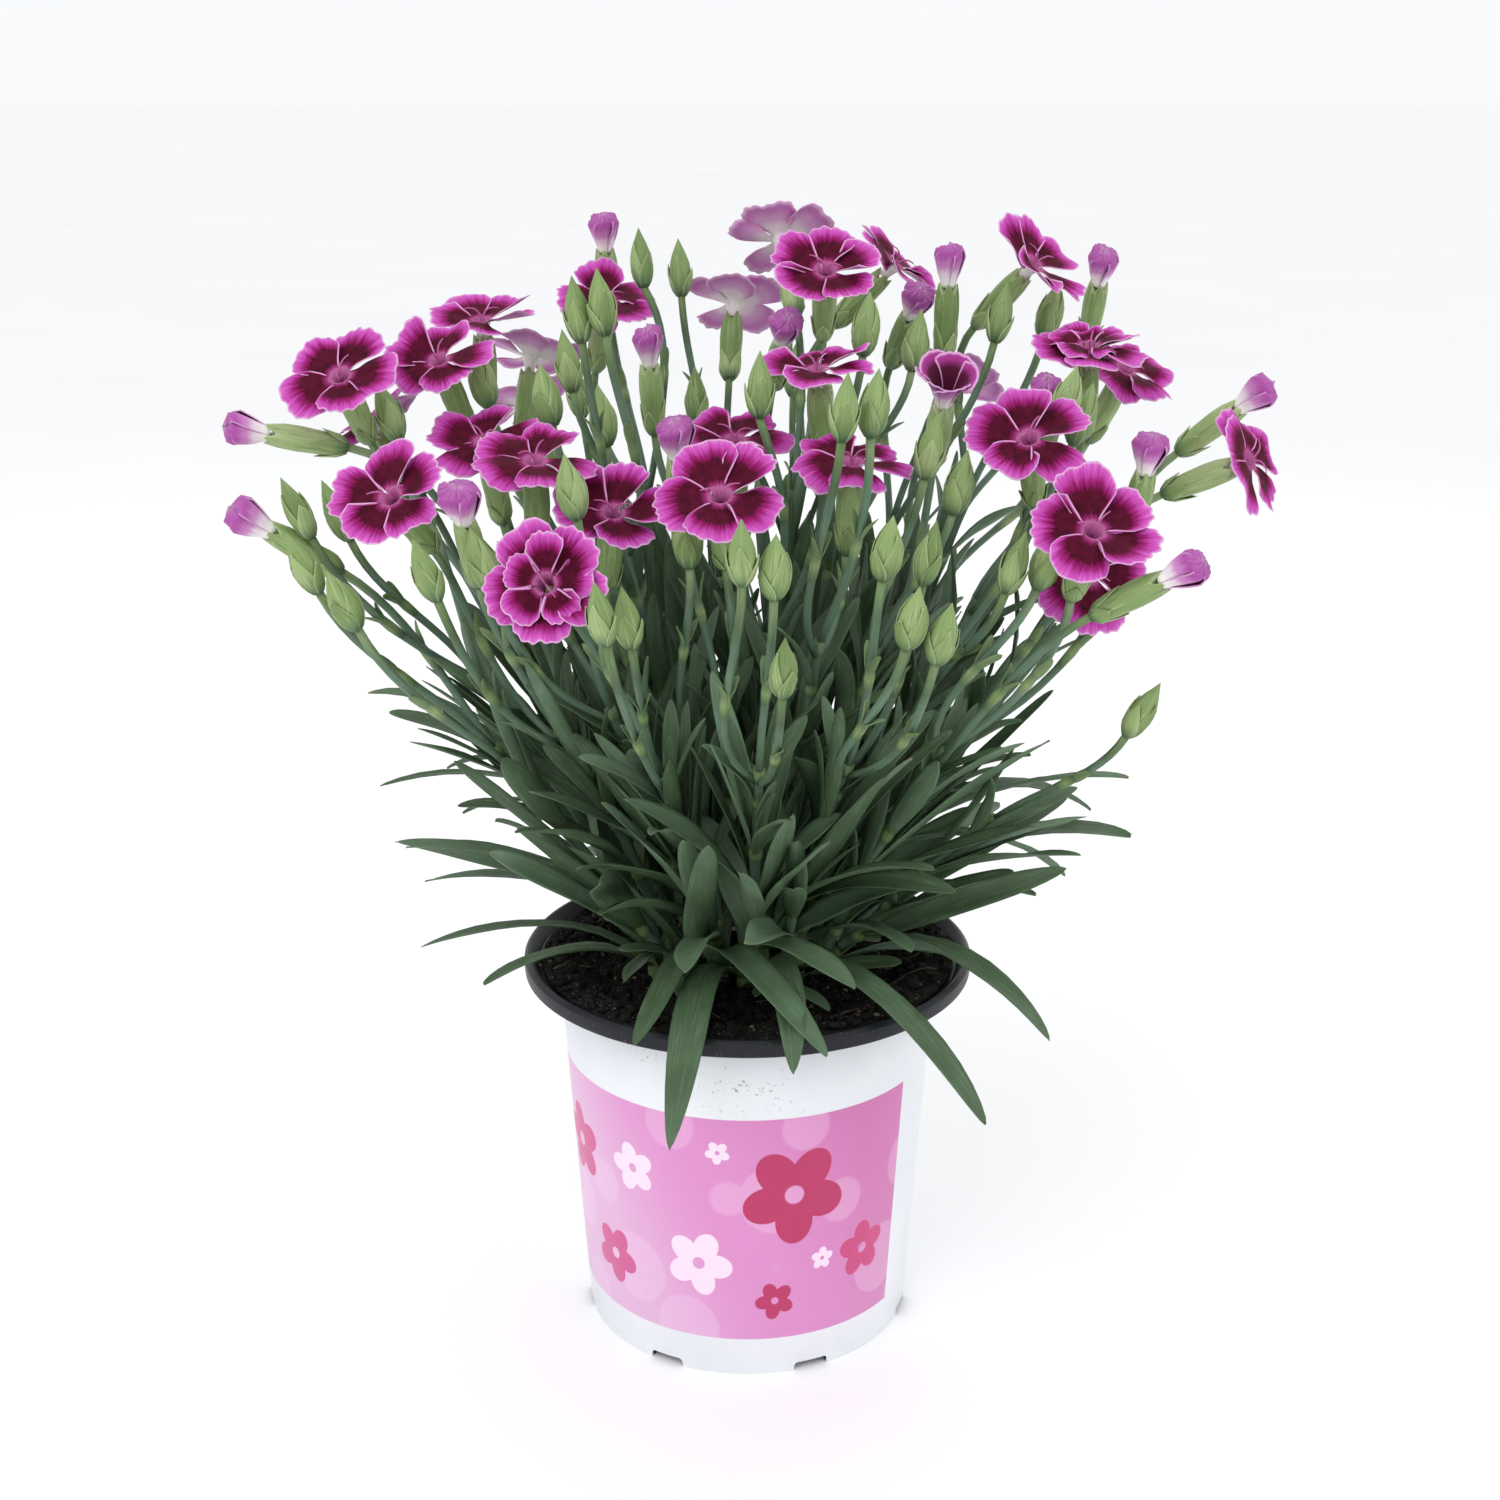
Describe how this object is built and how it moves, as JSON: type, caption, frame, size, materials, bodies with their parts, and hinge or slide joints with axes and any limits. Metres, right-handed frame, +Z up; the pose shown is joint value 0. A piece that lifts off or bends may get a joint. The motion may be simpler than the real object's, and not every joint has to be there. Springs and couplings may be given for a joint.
{
  "type": "potted dianthus plant",
  "caption": "Bushy garden pink in full flower, with two-tone toothed blooms and grey-green leaves, in a round nursery pot with a black rim.",
  "frame": {"origin": "on the pot's axis, at the underside of the middle of its floor, which is level with its feet", "axes": "+Z up along the pot's axis; -Y is the front of the plant as pictured; +X is to the right seen from the front"},
  "size_m": [0.2626, 0.21, 0.2957],
  "materials": {
    "pot_black": "moulded black polypropylene with a satin rim",
    "pot_white": "smooth white printed layer with a pink panel",
    "soil": "crumbly dark peat with fibres and pale grains",
    "foliage": "waxy grey-green leaves and stems with pale yellow-green calyces and buds",
    "petals": "velvety burgundy petals with a magenta band and a pale toothed edge",
    "opening_petals": "rolled petals that show their pale lilac-pink backs"
  },
  "bodies": {
    "root": {"pot": "pot_black", "pot_skin": "pot_white", "soil": "soil", "spray_01": "foliage", "spray_02": "foliage", "spray_03": "foliage", "spray_04": "foliage", "spray_05": "foliage", "spray_06": "foliage", "spray_07": "foliage", "spray_08": "foliage", "spray_09": "foliage", "spray_10": "foliage", "spray_11": "foliage", "spray_12": "foliage", "spray_13": "foliage", "spray_14": "foliage", "bloom_01": "petals", "bloom_02": "petals", "bloom_03": "petals", "bloom_04": "petals", "bloom_05": "petals", "bloom_06": "petals", "bloom_07": "petals", "bloom_08": "petals", "bloom_09": "petals", "bloom_10": "petals", "bloom_11": "petals", "bloom_12": "petals", "bloom_13": "petals", "bloom_14": "petals", "bloom_15": "petals", "bloom_16": "petals", "bloom_17": "petals", "bloom_18": "petals", "bloom_19": "petals", "bloom_20": "petals", "bloom_21": "petals", "bloom_22": "petals", "bloom_23": "petals", "bloom_24": "petals", "bloom_25": "petals", "bloom_26": "petals", "bloom_27": "petals", "bloom_28": "petals", "opening_bloom_01": "opening_petals", "opening_bloom_02": "opening_petals", "opening_bloom_03": "opening_petals", "opening_bloom_04": "opening_petals", "opening_bloom_05": "opening_petals", "opening_bloom_06": "opening_petals", "opening_bloom_07": "opening_petals", "opening_bloom_08": "opening_petals", "opening_bloom_09": "opening_petals", "opening_bloom_10": "opening_petals", "opening_bloom_11": "opening_petals", "opening_bloom_12": "opening_petals", "opening_bloom_13": "opening_petals", "opening_bloom_14": "opening_petals", "opening_bloom_15": "opening_petals"}
  },
  "joints": []
}
